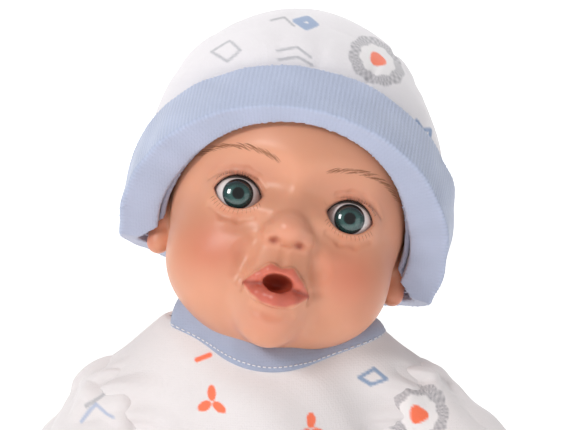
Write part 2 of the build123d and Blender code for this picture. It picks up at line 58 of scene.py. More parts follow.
# --- places that come from the frame --------------------------------------------
joints = {joint["name"]: joint for joint in frame["record"]["behaviour"]["joints"]}
pivot = Vector(joints["neck_nod"]["pos_m"])
HEAD_ROLL, HEAD_PITCH, HEAD_YAW = 12.7, -14.0, 1.0      # degrees, as the head rests
NECK_IN_HEAD = Vector((0, 10, -56)) * MM
head_matrix = (
    Matrix.Translation(pivot)
    @ Matrix.Rotation(math.radians(HEAD_ROLL), 4, "Y")
    @ Matrix.Rotation(math.radians(HEAD_PITCH), 4, "X")
    @ Matrix.Rotation(math.radians(HEAD_YAW), 4, "Z")
    @ Matrix.Translation(-NECK_IN_HEAD)
)
EYE_X, EYE_Y, EYE_R = 21.8, -32.5, 10.5                 # mm in the head's own frame


def to_head(x, y, z):
    """World millimetres to the head's own frame, for arrays."""
    turn = np.array(head_matrix.inverted())
    parts = [turn[i, 0] * x + turn[i, 1] * y + turn[i, 2] * z + turn[i, 3] / MM for i in range(3)]
    return parts


# --- clay: signed distance sculpting, lengths in mm -------------------------------
def oval(centre, radii):
    def distance(x, y, z):
        u = [(a - c).astype(np.float32) for a, c in zip((x, y, z), centre)]
        k0 = np.sqrt(sum((a / r) ** 2 for a, r in zip(u, radii)))
        k1 = np.sqrt(sum((a / r**2) ** 2 for a, r in zip(u, radii))) + 1e-9
        return k0 * (k0 - 1) / k1
    distance.centre, distance.reach = centre, radii
    return distance


def ball(centre, radius):
    return oval(centre, (radius, radius, radius))


def bar(start, end, r_start, r_end):
    """Round bar from start to end, with balls at its ends."""
    a, b = np.array(start, float), np.array(end, float)
    span = b - a

    def distance(x, y, z):
        t = ((x - a[0]) * span[0] + (y - a[1]) * span[1] + (z - a[2]) * span[2]) / span.dot(span)
        t = np.clip(t, 0, 1)
        gap = [p - a[i] - t * span[i] for i, p in enumerate((x, y, z))]
        return np.sqrt(sum(g**2 for g in gap)) - (r_start + t * (r_end - r_start))
    radius = max(r_start, r_end)
    distance.centre = (a + b) / 2
    distance.reach = np.abs(span) / 2 + radius
    return distance


def soft_min(a, b, blend):
    h = np.clip(0.5 + 0.5 * (b - a) / blend, 0, 1)
    return b + (a - b) * h - blend * h * (1 - h)


class Clay:
    """A block of clay on a regular grid, added to and cut."""

    def __init__(self, low, high, step):
        self.low, self.step = np.array(low, float), step
        counts = [int(math.ceil((b - a) / step)) + 1 for a, b in zip(low, high)]
        self.axes = [np.float32(a) + np.arange(n, dtype=np.float32) * np.float32(step)
                     for a, n in zip(low, counts)]
        self.field = np.full(counts, 50.0, np.float32)

    def near(self, shape, blend):
        slices = []
        for axis, centre, reach in zip(self.axes, shape.centre, shape.reach):
            margin = reach + blend + 3 * self.step
            low, high = np.searchsorted(axis, (centre - margin, centre + margin))
            slices.append(slice(int(low), int(high)))
        slices = tuple(slices)
        x, y, z = (axis[s] for axis, s in zip(self.axes, slices))
        return slices, x[:, None, None], y[None, :, None], z[None, None, :]

    def add(self, shape, blend=1.0):
        where, x, y, z = self.near(shape, blend)
        self.field[where] = soft_min(self.field[where], shape(x, y, z), blend)
        return self

    def cut(self, shape, blend=1.0):
        where, x, y, z = self.near(shape, blend)
        self.field[where] = -soft_min(-self.field[where], shape(x, y, z), blend)
        return self

    def mesh(self, name, smooth_rounds=2):
        grid = openvdb.FloatGrid(50.0)
        grid.copyFromArray(self.field)
        points, quads = grid.convertToQuads(0.0)
        points = relax(points.astype(np.float64), quads, smooth_rounds)
        return new_mesh(name, (points * self.step + self.low) * MM, quads)


def relax(points, faces, rounds):
    """Laplacian smoothing with a little of it put back, so that nothing shrinks."""
    edges = np.concatenate([faces[:, [i, (i + 1) % 4]] for i in range(4)])
    count = np.bincount(edges.ravel(), minlength=len(points))[:, None]
    for k in range(rounds * 2):
        total = np.zeros_like(points)
        for axis in range(3):
            total[:, axis] = (
                np.bincount(edges[:, 0], points[edges[:, 1], axis], len(points))
                + np.bincount(edges[:, 1], points[edges[:, 0], axis], len(points))
            )
        weight = 0.55 if k % 2 == 0 else -0.57
        points = points + weight * (total / np.maximum(count, 1) - points)
    return points


def new_mesh(name, points, faces):
    """Smooth-shaded object from arrays of points in metres and of faces."""
    mesh = bpy.data.meshes.new(name)
    faces = np.asarray(faces)
    corner = points[faces]
    volume = np.einsum("ij,ij->", corner[:, 0], np.cross(corner[:, 1], corner[:, 2]))
    volume += np.einsum("ij,ij->", corner[:, 0], np.cross(corner[:, 2], corner[:, 3]))
    if volume < 0:
        faces = faces[:, ::-1]
    mesh.vertices.add(len(points))
    mesh.vertices.foreach_set("co", np.ascontiguousarray(points, np.float32).ravel())
    mesh.loops.add(faces.size)
    mesh.loops.foreach_set("vertex_index", np.ascontiguousarray(faces, np.int32).ravel())
    mesh.polygons.add(len(faces))
    mesh.polygons.foreach_set("loop_start", np.arange(len(faces), dtype=np.int32) * 4)
    mesh.update(calc_edges=True)
    mesh.validate()
    mesh.polygons.foreach_set("use_smooth", np.ones(len(mesh.polygons), bool))
    piece = bpy.data.objects.new(name, mesh)
    bpy.context.scene.collection.objects.link(piece)
    return piece


def points_of(piece):
    flat = np.empty(len(piece.data.vertices) * 3, np.float32)
    piece.data.vertices.foreach_get("co", flat)
    return flat.reshape(-1, 3).astype(np.float64)


def normals_of(piece):
    flat = np.empty(len(piece.data.vertices) * 3, np.float32)
    piece.data.vertices.foreach_get("normal", flat)
    return flat.reshape(-1, 3).astype(np.float64)


def move_points(piece, points):
    piece.data.vertices.foreach_set("co", np.ascontiguousarray(points, np.float32).ravel())
    piece.data.update()


def waves(points_mm, size, seed, count=14):
    """Smooth noise in about -1 to 1 with features of the given size in mm."""
    draw = np.random.default_rng(seed)
    total = np.zeros(len(points_mm))
    for _ in range(count):
        way = draw.normal(size=3)
        way *= (0.6 + 0.8 * draw.random()) / np.linalg.norm(way) * 2 * math.pi / size
        total += np.sin(points_mm @ way + draw.random() * 2 * math.pi)
    return total / math.sqrt(count) / 1.2


def step_between(value, low, high):
    t = np.clip((value - low) / (high - low), 0, 1)
    return t * t * (3 - 2 * t)


def linear(colour):
    """sRGB hex colour to linear RGB."""
    raw = np.array([int(colour[i:i + 2], 16) for i in (1, 3, 5)]) / 255
    return np.where(raw <= 0.04045, raw / 12.92, ((raw + 0.055) / 1.055) ** 2.4)


def paint(piece, colours):
    layer = piece.data.color_attributes.new("paint", "FLOAT_COLOR", "POINT")
    data = np.ones((len(piece.data.vertices), 4), np.float32)
    data[:, :3] = colours
    layer.data.foreach_set("color", data.ravel())


def mix(base, colour, mask):
    return base + (colour - base) * mask[:, None]


# --- materials --------------------------------------------------------------------
def material(name, roughness, **sockets):
    mat = bpy.data.materials.new(name)
    mat.use_nodes = True
    shader = mat.node_tree.nodes["Principled BSDF"]
    shader.inputs["Roughness"].default_value = roughness
    for key, value in sockets.items():
        shader.inputs[key.replace("_", " ")].default_value = value
    return mat, mat.node_tree.nodes, mat.node_tree.links, shader


def add_node(nodes, kind, **values):
    made = nodes.new(kind)
    for key, value in values.items():
        if key in made.inputs:
            made.inputs[key].default_value = value
        else:
            setattr(made, key, value)
    return made


def bump(nodes, links, shader, height, strength, distance, before=None):
    made = add_node(nodes, "ShaderNodeBump", Strength=strength, Distance=distance)
    links.new(height, made.inputs["Height"])
    if before is not None:
        links.new(before.outputs["Normal"], made.inputs["Normal"])
    links.new(made.outputs["Normal"], shader.inputs["Normal"])
    return made


def painted(nodes, links, shader, noise_out, amount):
    """Base colour from the paint layer, with a faint mottle."""
    layer = add_node(nodes, "ShaderNodeAttribute", attribute_name="paint")
    blend = add_node(nodes, "ShaderNodeMix", data_type="RGBA", blend_type="MULTIPLY")
    blend.inputs["Factor"].default_value = 1.0
    span = add_node(nodes, "ShaderNodeMapRange")
    span.inputs["To Min"].default_value = 1 - amount
    span.inputs["To Max"].default_value = 1 + amount
    links.new(noise_out, span.inputs["Value"])
    links.new(layer.outputs["Color"], blend.inputs[6])
    links.new(span.outputs["Result"], blend.inputs[7])
    links.new(blend.outputs[2], shader.inputs["Base Color"])


def two_tone(nodes, links, shader, texture, low, high, target="Base Color"):
    """Colour that wanders between two tones with a texture."""
    ramp = add_node(nodes, "ShaderNodeMix", data_type="RGBA")
    ramp.inputs[6].default_value = low
    ramp.inputs[7].default_value = high
    links.new(texture.outputs["Fac"], ramp.inputs["Factor"])
    links.new(ramp.outputs[2], shader.inputs[target])


def noise(nodes, links, scale, detail=3.0, coords=None):
    place = coords or add_node(nodes, "ShaderNodeTexCoord")
    made = add_node(nodes, "ShaderNodeTexNoise", Scale=scale, Detail=detail)
    links.new(place.outputs["Object"], made.inputs["Vector"])
    return made


def vinyl_material():
    mat, nodes, links, shader = material(
        "soft_vinyl", 0.38, Subsurface_Weight=0.22, Subsurface_Scale=0.004,
        Specular_IOR_Level=0.38)
    shader.inputs["Subsurface Radius"].default_value = (1.0, 0.35, 0.18)
    painted(nodes, links, shader, noise(nodes, links, 90).outputs["Fac"], 0.03)
    fine = noise(nodes, links, 2600, 2)
    bump(nodes, links, shader, fine.outputs["Fac"], 0.06, 0.0002)
    return mat


def knit_material(name, pitch, tone, roughness=0.9, sheen=0.35, depth=0.0004):
    """Knitted cloth: fine wales and courses with a soft fuzz."""
    mat, nodes, links, shader = material(name, roughness, Sheen_Weight=sheen, Sheen_Roughness=0.5,
                                         Specular_IOR_Level=0.2)
    place = add_node(nodes, "ShaderNodeTexCoord")
    soft = noise(nodes, links, 60, 4, place)
    if tone is None:
        painted(nodes, links, shader, soft.outputs["Fac"], 0.035)
    else:
        low, high = (*(linear(tone) * 0.93), 1), (*np.minimum(linear(tone) * 1.06, 1), 1)
        two_tone(nodes, links, shader, soft, low, high)
    cell = add_node(nodes, "ShaderNodeTexVoronoi", Scale=1 / pitch, Randomness=0.35)
    cell.feature = "F1"
    links.new(place.outputs["Object"], cell.inputs["Vector"])
    fuzz = noise(nodes, links, 900, 3, place)
    first = bump(nodes, links, shader, cell.outputs["Distance"], 0.35, depth)
    bump(nodes, links, shader, fuzz.outputs["Fac"], 0.25, depth, before=first)
    return mat


vinyl = vinyl_material()
jersey = knit_material("printed_jersey", 0.0009, None, depth=0.00025)
cotton = knit_material("plain_cotton", 0.0008, "#e9e1db", depth=0.0002)
rib = knit_material("rib_knit", 0.0011, None, sheen=0.5, depth=0.0004)


def cad_copy(node, step, name=None, rounds=3):
    """Even quad mesh over a CAD node, to be folded and painted."""
    source = frame["nodes"][node].data
    source.calc_loop_triangles()
    points = np.empty(len(source.vertices) * 3, np.float32)
    source.vertices.foreach_get("co", points)
    points = points.reshape(-1, 3) / MM
    corners = np.empty(len(source.loop_triangles) * 3, np.int32)
    source.loop_triangles.foreach_get("vertices", corners)
    transform = openvdb.createLinearTransform(voxelSize=step)
    grid = openvdb.FloatGrid.createLevelSetFromPolygons(
        points, triangles=corners.reshape(-1, 3).astype(np.uint32), transform=transform,
        halfWidth=3.0)
    made, quads = grid.convertToQuads(0.0)
    made = relax(made.astype(np.float64), quads, rounds)
    piece = new_mesh(name or f"look_{node}", made * MM, quads)
    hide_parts(node)
    return piece


def finish_piece(piece, body, mat):
    piece.data.materials.append(mat)
    if body:
        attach(piece, body)
    return piece


def tubes(name, lines, sides=5):
    """One mesh of tapered round strokes; each line is a list of (point in m, radius in m)."""
    bm = bmesh.new()
    for line in lines:
        rings = []
        for k, (point, radius) in enumerate(line):
            ahead = Vector(line[min(k + 1, len(line) - 1)][0]) - Vector(line[max(k - 1, 0)][0])
            turn = ahead.to_track_quat("Z", "Y")
            ring = [
                bm.verts.new(Vector(point) + turn @ Vector((math.cos(a), math.sin(a), 0)) * radius)
                for a in (2 * math.pi * i / sides for i in range(sides))
            ]
            rings.append(ring)
        for low, high in zip(rings, rings[1:]):
            for i in range(sides):
                bm.faces.new((low[i], low[(i + 1) % sides], high[(i + 1) % sides], high[i]))
        bm.faces.new(rings[0][::-1])
        bm.faces.new(rings[-1])
    mesh = bpy.data.meshes.new(name)
    bm.to_mesh(mesh)
    bm.free()
    mesh.polygons.foreach_set("use_smooth", np.ones(len(mesh.polygons), bool))
    piece = bpy.data.objects.new(name, mesh)
    bpy.context.scene.collection.objects.link(piece)
    return piece


# --- head ---------------------------------------------------------------------------
head = Clay((-57, -60, -62), (57, 66, 70), 0.5)
head.add(oval((0, 6, 18), (50, 58, 50)), 1)
head.add(oval((0, -8, -11), (44, 41, 44)), 10)
for s in (-1, 1):
    head.add(ball((s * 21.5, -20, -23.5), 21.0), 9)
head.add(ball((0, -35.5, -42.5), 12), 8)
head.add(ball((0, -39.5, -31), 13), 8)
head.add(bar((0, -42, 2), (0, -48, -8), 4.0, 5.2), 5)
head.add(oval((0, -50.2, -10.6), (6.9, 6.6, 6.0)), 3.5)
for s in (-1, 1):
    head.add(ball((s * 7.0, -48.2, -12.2), 4.3), 2.6)
    head.cut(oval((s * 18.5, -52, 6), (15, 9, 7)), 9)
    head.cut(oval((s * 20, -50.5, -10.5), (9, 5.2, 2.8)), 6)
    head.add(oval((s * 48.5, 8, -7), (5, 8.6, 13)), 4)
    head.add(ball((s * 48, 4.5, -19), 4.2), 4)
    head.cut(oval((s * 53.6, 6.5, -5), (3, 5, 8.2)), 2)
    head.add(bar((s * 50.4, 3, -2), (s * 50.4, 9, 2), 1.1, 0.8), 1.2)
    head.add(ball((s * EYE_X, EYE_Y, 0), 12.3), 3)


def front(clay, x, z):
    """Y of the clay's front at one x and z."""
    i = int(round((x - clay.low[0]) / clay.step))
    k = int(round((z - clay.low[2]) / clay.step))
    column = clay.field[i, :, k]
    j = int(np.argmax(column < 0))
    return float(clay.axes[1][j] - clay.step * column[j] / (column[j] - column[j - 1]))


def on_face(clay, points, sink):
    return [(x, front(clay, x, z) + sink, z) for x, z in points]


def lay(points, radii, sink, blend, carve=False):
    placed = on_face(head, points, sink)
    for a, b, r_a, r_b in zip(placed, placed[1:], radii, radii[1:]):
        (head.cut if carve else head.add)(bar(a, b, r_a, r_b), blend)


UPPER_LID, LOWER_LID = (-2.4, 9.7), (4.0, 9.9)          # height and radius of each lid's arc, mm


def opening(u, z):
    """Distance from the almond outline of an eye opening, whose middle is at u = 0."""
    upper = np.sqrt(u**2 + (z - UPPER_LID[0]) ** 2) - UPPER_LID[1]
    lower = np.sqrt(u**2 + (z - LOWER_LID[0]) ** 2) - LOWER_LID[1]
    return np.maximum(upper, lower)


def lens(s):
    """Almond prism of one eye opening."""
    def distance(x, y, z):
        return np.maximum(opening(x - s * EYE_X, z), y - EYE_Y) + 0 * y
    distance.centre, distance.reach = (s * EYE_X, EYE_Y - 10, 0.5), (10, 11, 8)
    return distance


for s in (-1, 1):
    crease = [(s * 34.0, 4.4), (s * 30.4, 7.6), (s * 25.8, 9.2), (s * 20.5, 9.4),
              (s * 15.6, 7.6), (s * 12.2, 4.0)]
    lay(crease, (0.3, 0.8, 0.95, 0.95, 0.8, 0.3), -0.25, 1.5, carve=True)
    under = [(s * 31.5, -6.2), (s * 26, -9.2), (s * 20, -9.8), (s * 14.5, -7.8)]
    lay(under, (0.2, 0.5, 0.5, 0.2), -0.1, 2.6, carve=True)
    lay([(s * 12.4, -17), (s * 14.6, -23), (s * 15.6, -30)], (0.4, 0.8, 0.4), -0.5, 5.5, carve=True)
    head.cut(oval((s * 4.9, -52.4, -16.2), (2.0, 3.0, 1.4)), 0.9)
lay([(0, -18.5), (0, -24.2)], (0.8, 1.5), -0.7, 2.2, carve=True)
lay([(-12.2, -33.2), (-8, -30.2), (-3.8, -27.6), (0, -28.4), (3.8, -27.6), (8, -30.2), (12.2, -33.2)],
    (0.5, 1.9, 2.9, 2.4, 2.9, 1.9, 0.5), 0.0, 1.3)
lay([(-11.4, -34), (-6.4, -36.6), (0, -37.6), (6.4, -36.6), (11.4, -34)],
    (0.5, 2.6, 3.5, 2.6, 0.5), 0.1, 1.4)
lay([(-7, -42.6), (0, -43.3), (7, -42.6)], (0.8, 1.6, 0.8), -1.1, 3.5, carve=True)
for s in (-1, 1):
    lay([(s * 13.2, -31.6), (s * 13.4, -35.2)], (0.7, 0.6), -0.2, 1.8, carve=True)
lips_y = front(head, 0, -34)
head.cut(oval((0, lips_y + 1, -31.4), (5.7, 9.5, 3.3)), 0.8)
head.cut(oval((0, lips_y, -33), (3.6, 5, 2.4)), 1.0)
for s in (-1, 1):
    head.cut(lens(s), 0.9)
    head.cut(ball((s * EYE_X, EYE_Y, 0), 10.95), 0.3)
head.cut(bar((0, 10, -75), (0, 8, -30), 16, 16), 1)
head.cut(oval((0, 10, -56), (23, 23, 21)), 1)
face = head.mesh("doll_head", 2)
local = points_of(face) / MM

# --- head paint ---------------------------------------------------------------------
x, y, z = local.T
ax = np.abs(x)
in_front = step_between(-y, 20, 32)
skin = np.tile(linear("#d99a7c"), (len(local), 1))
skin *= (1 + 0.03 * waves(local, 26, 1))[:, None]


def spot(cx, cz, rx, rz, power=1.0):
    return np.exp(-(((ax - cx) / rx) ** 2 + ((z - cz) / rz) ** 2) * power)


blush = spot(27, -22, 13, 11) * in_front
skin = mix(skin, linear("#cf6a50"), 0.55 * blush)
# painted shade: the face's +x side is darkened, as on the side the light reaches less
skin = mix(skin, linear("#c98468"), 0.35 * step_between(x, 26, 46))
skin = mix(skin, linear("#dc8f76"), 0.5 * spot(0, -46, 12, 6) * in_front)
skin = mix(skin, linear("#e39a80"), 0.5 * spot(0, -11, 8, 6) * in_front)
skin = mix(skin, linear("#d08a76"), 0.4 * spot(21.8, 8.5, 11, 3.5) * in_front)
# painted shade: the lower ears and the head's sides beside them are darkened
skin = mix(skin, linear("#c4705c"), 0.5 * step_between(ax, 47, 52) * step_between(-z, -8, 12))
# painted shade: dark colour inside the nostrils
nostril_shade = np.exp(-(((ax - 4.9) / 1.9) ** 2 + ((z + 15.8) / 1.2) ** 2)) * step_between(-y, 46, 49)
skin = mix(skin, linear("#a04a38"), 0.8 * nostril_shade)


def edge_of(points, value):
    xs, zs = np.array(points, float).T
    return np.interp(value, xs, zs)


LIP_UPPER_EDGE = ((0, -26), (4.2, -25), (9, -29.2), (13.4, -33.2))    # right half, x and z in mm
LIP_LOWER_EDGE = ((0, -40.7), (4.5, -40), (9, -37.6), (13.4, -33.2))
lip_top = edge_of(LIP_UPPER_EDGE, ax)
lip_low = edge_of(LIP_LOWER_EDGE, ax)
lip = step_between(lip_top - z, -0.5, 0.7) * step_between(z - lip_low, -0.5, 0.9)
lip *= (ax < 13.6) * step_between(-y, 38, 42)
middle = -31.6 - 0.012 * x**2
lip_tone = np.where((z > middle)[:, None], linear("#cf6a58"), linear("#c25b4b"))
skin = skin + (lip_tone - skin) * (0.88 * lip)[:, None]
# painted shade: a dark line along the crease where the lips meet, beside the open middle
line = np.exp(-((z - (-32.6 - 0.004 * x**2)) / 0.8) ** 2) * (ax > 4) * (ax < 13) * step_between(-y, 38, 42)
skin = mix(skin, linear("#8d3a2c"), 0.7 * line)
deep = ((x / 6.6) ** 2 + ((z + 31.6) / 3.8) ** 2 < 1) * step_between(y, lips_y + 1.4, lips_y + 4.2)
skin = mix(skin, linear("#a8452f"), 0.9 * deep)
rim = np.zeros(len(local))
for s in (-1, 1):
    u = x - s * EYE_X
    gap = opening(u, z)
    near_lid = step_between(-y, 30, 34) * (np.abs(u) < 12)
    rim = np.maximum(rim, np.exp(-(gap / 0.75) ** 2) * near_lid)
    # painted shade: the vinyl just inside each eye opening is darkened
    inside = step_between(-gap, -0.3, 0.4) * near_lid
    skin = mix(skin, linear("#8a5a4a"), 0.7 * inside)
skin = mix(skin, linear("#7c4536"), 0.62 * rim * np.where(z > 0.5, 1.0, 0.6))
paint(face, skin)
face.data.transform(head_matrix)
face.data.update()
finish_piece(face, "head", vinyl)
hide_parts("head_shell", "eye_cups")

# --- brows and lower lashes, painted hairs that lie on the vinyl -----------------------
surface = BVHTree.FromObject(face, bpy.context.evaluated_depsgraph_get())
turn = head_matrix.to_3x3()


def skin_point(px, pz, lift=0.0):
    """World point on the face in front of a head-frame x and z in mm."""
    start = head_matrix @ (Vector((px, -75, pz)) * MM)
    hit, normal, _, _ = surface.ray_cast(start, turn @ Vector((0, 1, 0)), 0.06)
    if hit is None:
        return None
    return hit + normal * (lift * MM)


def stroke(points, radius, lift=0.0):
    """Tapered stroke through head-frame points; None if it misses the face."""
    placed = [skin_point(px, pz, lift) for px, pz in points]
    if any(p is None for p in placed):
        return None
    count = len(placed) - 1
    sizes = [radius * MM * (0.25 + 0.75 * math.sin(math.pi * (0.18 + 0.76 * k / count)))
             for k in range(count + 1)]
    return list(zip(placed, sizes))


def bend(a, b, rise, count=5):
    """Points from a to b, bowed upwards by rise."""
    out = []
    for k in range(count):
        t = k / (count - 1)
        out.append((a[0] + (b[0] - a[0]) * t, a[1] + (b[1] - a[1]) * t + rise * 4 * t * (1 - t)))
    return out


brow_lines, fine_lines = [], []
brow_x = [9, 13, 17, 21, 25, 29, 33, 36.5, 39]
brow_z = [15.0, 16.4, 17.4, 18.1, 18.3, 18.0, 16.8, 15.0, 12.8]
for s in (-1, 1):
    for k in range(74):
        t = (k + 0.5) / 74
        bx = 8.6 + 29.4 * t
        spread = 1.5 * math.sin(math.pi * min(0.95, 0.18 + 0.8 * t)) + 0.3
        bz = float(np.interp(bx, brow_x, brow_z)) + (rng.random() - 0.55) * spread
        length = 3.2 + 1.6 * rng.random()
        slope = math.radians(40 - 66 * t + rng.normal() * 5)
        end = (s * (bx + length * math.cos(slope)), bz + length * math.sin(slope) * 0.55)
        brow_lines.append(stroke(bend((s * bx, bz - 0.8), end, 0.25), 0.13, -0.04))
    for k in range(15):
        t = k / 14
        angle = math.radians(206 + 128 * t)
        rx, rz = 9.0 * math.cos(angle), 0.7 + 6.4 * math.sin(angle)
        away = 1.9 + 0.5 * math.sin(math.pi * t)
        tip = (s * (EYE_X + (rx * (1 + 0.11 * away) + 0.5)), rz - away * 1.05)
        fine_lines.append(stroke(bend((s * (EYE_X + rx * 1.04), rz - 0.5), tip, 0.1, 4), 0.13, -0.03))
brow_mat, nodes, links, shader = material("painted_brow", 0.6)
tint = noise(nodes, links, 500)
low, high = (*linear("#8a5136"), 1), (*linear("#b07a56"), 1)
two_tone(nodes, links, shader, tint, low, high)
brows = tubes("brows_and_lower_lashes", [ln for ln in brow_lines + fine_lines if ln])
finish_piece(brows, "head", brow_mat)

# --- eyes -----------------------------------------------------------------------------
eye_mat, nodes, links, shader = material(
    "painted_eye", 0.12, Coat_Weight=1.0, Coat_Roughness=0.02, Specular_IOR_Level=0.5)
painted(nodes, links, shader, noise(nodes, links, 200).outputs["Fac"], 0.02)
lash_mat, nodes, links, shader = material("lash_fibre", 0.45)
tint = noise(nodes, links, 800)
low, high = (*linear("#1d120d"), 1), (*linear("#3a261c"), 1)
two_tone(nodes, links, shader, tint, low, high)


def globe(name, centre, radius, rings=150):
    """Fine ball whose poles lie on the y axis."""
    th = np.linspace(0, math.pi, rings + 1)
    ph = np.arange(2 * rings) * math.pi / rings
    a, b = np.meshgrid(th, ph, indexing="ij")
    pts = np.stack([np.sin(a) * np.cos(b), -np.cos(a), np.sin(a) * np.sin(b)], -1).reshape(-1, 3)
    i, j = np.meshgrid(np.arange(rings), np.arange(2 * rings), indexing="ij")
    n = 2 * rings
    quads = np.stack([i * n + j, i * n + (j + 1) % n, (i + 1) * n + (j + 1) % n, (i + 1) * n + j], -1)
    bump_out = np.where(pts[:, 1] < 0, 0.35 * step_between(-pts[:, 1], 0.83, 0.93), 0)
    piece = new_mesh(name, (pts * (radius + bump_out)[:, None] + np.array(centre)) * MM,
                     quads.reshape(-1, 4))
    return piece, pts


for side, s in LEFT_RIGHT.items():
    eye, way = globe(f"eye_{side}_look", (s * EYE_X, EYE_Y, 0), EYE_R)
    ex, ez = way[:, 0] * EYE_R, way[:, 2] * EYE_R
    r = np.where(way[:, 1] < 0, np.hypot(ex, ez), 20)
    angle = np.arctan2(ez, ex)
    white = np.tile(linear("#e6dcdb"), (len(way), 1))
    white = mix(white, linear("#c99a94"), 0.5 * step_between(r, 7.2, 9.6))
    rays = 0.5 + 0.5 * np.sin(angle * 46 + 2.2 * np.sin(angle * 7 + r) + 1.3 * r)
    rays2 = 0.5 + 0.5 * np.sin(angle * 23 + 1.7 * np.sin(angle * 5))
    iris = linear("#1f4544") + (linear("#0b1c21") - linear("#1f4544")) * (0.6 * rays * rays2)[:, None]
    iris = mix(iris, linear("#5d887f"), 0.5 * np.exp(-((r - 3.1) / 0.8) ** 2) * rays)
    iris = mix(iris, linear("#18252c"), step_between(r, 4.8, 5.8))
    # painted shade: the top of the iris is darkened, as under the lashes
    iris = mix(iris, linear("#0c1216"), 0.85 * step_between(ez, 0.6, 4.6))
    iris = mix(iris, linear("#050607"), 1 - step_between(r, 2.0, 2.4))
    white = white + (iris - white) * (1 - step_between(r, 5.75, 6.05))[:, None]
    # painted shade: the white just above the iris is darkened, as under the upper lid
    white = mix(white, linear("#8a6058"), 0.7 * step_between(ez, 3.6, 6.2) * step_between(r, 5.9, 6.3))
    rise = np.degrees(np.arctan2(way[:, 2], -way[:, 1]))
    white = mix(white, linear("#cf8f76"), step_between(rise, 37.5, 39.5))
    paint(eye, white)
    eye.data.transform(head_matrix)
    eye.data.update()
    finish_piece(eye, f"eye_{side}", eye_mat)
    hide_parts(f"eyeball_{side}", f"iris_{side}", f"cornea_{side}")
    hairs = []
    for k in range(46):
        t = k / 45
        angle = math.radians(20 + 140 * t)
        cx, cz = 8.6 * math.cos(angle), 0.5 + 6.0 * math.sin(angle)
        root_y = -math.sqrt(max(EYE_R**2 - cx**2 - cz**2, 1))
        length = 3.4 + 1.3 * math.sin(math.pi * t)
        lean = 0.45 * math.cos(angle) + rng.normal() * 0.05
        line = []
        for m in range(6):
            q = m / 5
            hx = cx + lean * length * q
            hy = root_y + 0.15 - length * 0.62 * q
            hz = cz + length * (0.05 * q + 0.38 * q * q)
            point = head_matrix @ (Vector((s * EYE_X + hx, EYE_Y + hy, hz)) * MM)
            line.append((point, 0.14 * MM * (1 - 0.8 * q)))
        hairs.append(line)
    band = []
    for k in range(25):
        angle = math.radians(14 + 152 * k / 24)
        cx, cz = 8.8 * math.cos(angle), 0.4 + 6.2 * math.sin(angle)
        cy = -math.sqrt(max((EYE_R + 0.1) ** 2 - cx**2 - cz**2, 1))
        band.append((head_matrix @ (Vector((s * EYE_X + cx, EYE_Y + cy, cz)) * MM), 0.6 * MM))
    lashes = tubes(f"lashes_{side}", hairs + [band])
    finish_piece(lashes, f"eye_{side}", lash_mat)
    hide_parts(f"eyelashes_{side}")

# --- hat --------------------------------------------------------------------------------
HAT_CENTRE = head_matrix @ (Vector((0, 6, 14)) * MM)
HAT_TILT = math.radians(35)
hat_axis = (head_matrix.to_3x3() @ Vector((0, math.sin(HAT_TILT), math.cos(HAT_TILT)))).normalized()


def out_from(points, centre):
    away = points - np.array(centre)
    return away / np.linalg.norm(away, axis=1)[:, None]


def segment_gap(u, v, a, b):
    ux, uv = b[0] - a[0], b[1] - a[1]
    t = np.clip(((u - a[0]) * ux + (v - a[1]) * uv) / (ux * ux + uv * uv + 1e-9), 0, 1)
    return np.hypot(u - a[0] - t * ux, v - a[1] - t * uv)


def print_flower(tones, u, v, size, mask):
    """A grey scalloped ring with a white heart and an orange dot."""
    r, a = np.hypot(u, v), np.arctan2(v, u)
    edge = size * (1 + 0.07 * np.abs(np.cos(a * 5.5)) + 0.03 * np.cos(a * 3 + 1))
    inner = size * 0.66 * (1 + 0.05 * np.cos(a * 9 + 1))
    ring = step_between(edge - r, -0.3, 0.3) * step_between(r - inner, -0.3, 0.3)
    fill = step_between(edge - r, -0.3, 0.3) * (1 - step_between(r - inner, -0.3, 0.3))
    tones = mix(tones, linear("#f6f2f1"), 0.5 * fill * mask)
    streak = 0.5 + 0.28 * np.cos(a * 37 + 3 * np.sin(a * 5)) * np.cos(r * 1.7)
    tones = mix(tones, linear("#85838a"), streak * ring * mask)
    dot = step_between(size * 0.3 * (1 + 0.1 * np.cos(3 * a)) - r, -0.3, 0.3)
    return mix(tones, linear("#ff6a33"), 0.92 * dot * mask)


def print_line(tones, u, v, points, width, colour, mask, strength=0.6):
    gap = np.full(len(u), 99.0)
    for a, b in zip(points, points[1:]):
        gap = np.minimum(gap, segment_gap(u, v, a, b))
    return mix(tones, linear(colour), strength * step_between(width - gap, -0.3, 0.3) * mask)


def print_drops(tones, u, v, colour, mask):
    for k in range(3):
        a = math.radians(90 + 120 * k)
        du, dv = u - 3.4 * math.cos(a), v - 3.4 * math.sin(a)
        along, over = du * math.cos(a) + dv * math.sin(a), -du * math.sin(a) + dv * math.cos(a)
        shape = np.hypot(along / 3.0, over / 1.8)
        tones = mix(tones, linear(colour), 0.9 * step_between(1 - shape, -0.12, 0.12) * mask)
    return tones


HAT_INSIDE = 58.4


def head_gap(points):
    """Distance in mm from world points to the outside of the sculpted head."""
    spots = np.stack(to_head(*points.T), -1)
    index = [np.clip(np.rint((spots[:, i] - head.low[i]) / head.step).astype(int), 0, head.field.shape[i] - 1)
             for i in range(3)]
    return head.field[tuple(index)]


def above_rim(points):
    """Height of world points over the hat's lower edge, and the points in the head's frame."""
    spots = np.stack(to_head(*points.T), -1)
    front_edge = (spots[:, 2] + 19 - 0.862 * (2 - spots[:, 1])) * 0.757
    return np.where(spots[:, 1] < 2, front_edge, spots[:, 2] + 19), spots


